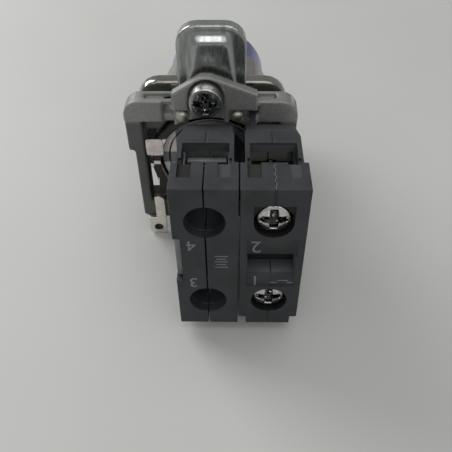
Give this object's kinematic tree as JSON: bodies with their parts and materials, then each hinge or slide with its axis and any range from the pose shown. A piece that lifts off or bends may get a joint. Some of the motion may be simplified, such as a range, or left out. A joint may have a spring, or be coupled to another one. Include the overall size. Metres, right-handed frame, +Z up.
{
  "type": "illuminated panel push button",
  "caption": "Illuminated push button for a panel hole, with a bayonet head, die-cast collar, locking lever, clamp screw, light block and contact block.",
  "frame": {"origin": "on the button's axis, in the plane of the panel's front face (the gasket's rear face)", "axes": "+Y along the axis from the wiring blocks to the lens, +Z up towards the locking lever, +X to the contact block's side"},
  "size_m": [0.0302, 0.0607, 0.0436],
  "materials": {
    "bezel_chrome": "polished chrome plate",
    "lever_chrome": "polished chrome plate",
    "cast_zinc": "satin grey die casting",
    "plated_steel": "bright zinc plate",
    "contact_brass": "plain strip",
    "black_casing": "fine moulded grain",
    "blue_lens": "gloss",
    "white_plastic": "moulded",
    "grey_plastic": "moulded",
    "gasket_rubber": "matt",
    "board_green": "lacquered board",
    "lamp_clear": "clear moulding"
  },
  "bodies": {
    "body": {"operator_bezel": "bezel_chrome", "panel_gasket": "gasket_rubber", "return_spring": "plated_steel", "collar_frame": "cast_zinc", "earth_tab": "plated_steel", "rivet_left": "plated_steel", "rivet_right": "plated_steel", "lever_pin_left": "plated_steel", "lever_pin_right": "plated_steel", "light_shell_left": "black_casing", "light_shell_right": "black_casing", "light_clamp_upper": "plated_steel", "light_clamp_lower": "plated_steel", "light_terminal_upper": "plated_steel", "light_terminal_lower": "plated_steel", "led_board": "board_green", "led_lamp": "lamp_clear", "contact_shell_left": "black_casing", "contact_shell_right": "black_casing", "contact_clamp_upper": "plated_steel", "contact_clamp_lower": "plated_steel", "fixed_contact_upper": "contact_brass", "fixed_contact_lower": "contact_brass", "contact_spring": "plated_steel"},
    "button": {"lens_cap": "blue_lens", "lens_diffuser": "white_plastic", "lens_carrier": "grey_plastic", "pusher_ring": "grey_plastic"},
    "plunger": {"contact_plunger": "white_plastic", "contact_bridge": "contact_brass"},
    "lever": {"locking_lever": "lever_chrome"},
    "clamping": {"clamp_screw": "plated_steel"},
    "light_upper": {"light_screw_upper": "plated_steel"},
    "light_lower": {"light_screw_lower": "plated_steel"},
    "contact_upper": {"contact_screw_upper": "plated_steel"},
    "contact_lower": {"contact_screw_lower": "plated_steel"}
  },
  "joints": [
    {"name": "button_press", "type": "slide", "parent": "body", "child": "button", "axis": [0, -1, 0], "range_m": [0, 0.0045], "stiffness_N_per_m": 600, "springref_m": -0.002, "deforming": ["return_spring"]},
    {"name": "plunger_slide", "type": "slide", "parent": "body", "child": "plunger", "axis": [0, -1, 0], "range_m": [0, 0.0045], "deforming": ["contact_spring"]},
    {"name": "lever_swing", "type": "hinge", "parent": "body", "child": "lever", "pos_m": [0, -0.0033, 0.0132], "axis": [1, 0, 0], "range_deg": [0, 7]},
    {"name": "clamp_screw_turn", "type": "hinge", "parent": "body", "child": "clamping", "pos_m": [-0.0005, -0.01, 0.0159], "axis": [0, 1, 0], "continuous": true},
    {"name": "light_screw_upper_turn", "type": "hinge", "parent": "body", "child": "light_upper", "pos_m": [0, -0.0225, 0.0089], "axis": [0, 1, 0], "continuous": true},
    {"name": "light_screw_lower_turn", "type": "hinge", "parent": "body", "child": "light_lower", "pos_m": [0, -0.0225, -0.0089], "axis": [0, 1, 0], "continuous": true},
    {"name": "contact_screw_upper_turn", "type": "hinge", "parent": "body", "child": "contact_upper", "pos_m": [0.01, -0.0292, 0.0089], "axis": [0, 1, 0], "continuous": true},
    {"name": "contact_screw_lower_turn", "type": "hinge", "parent": "body", "child": "contact_lower", "pos_m": [0.01, -0.0292, -0.0089], "axis": [0, 1, 0], "continuous": true}
  ],
  "couplings": [
    {"joint": "plunger_slide", "follows": "button_press", "ratio": 1}
  ]
}
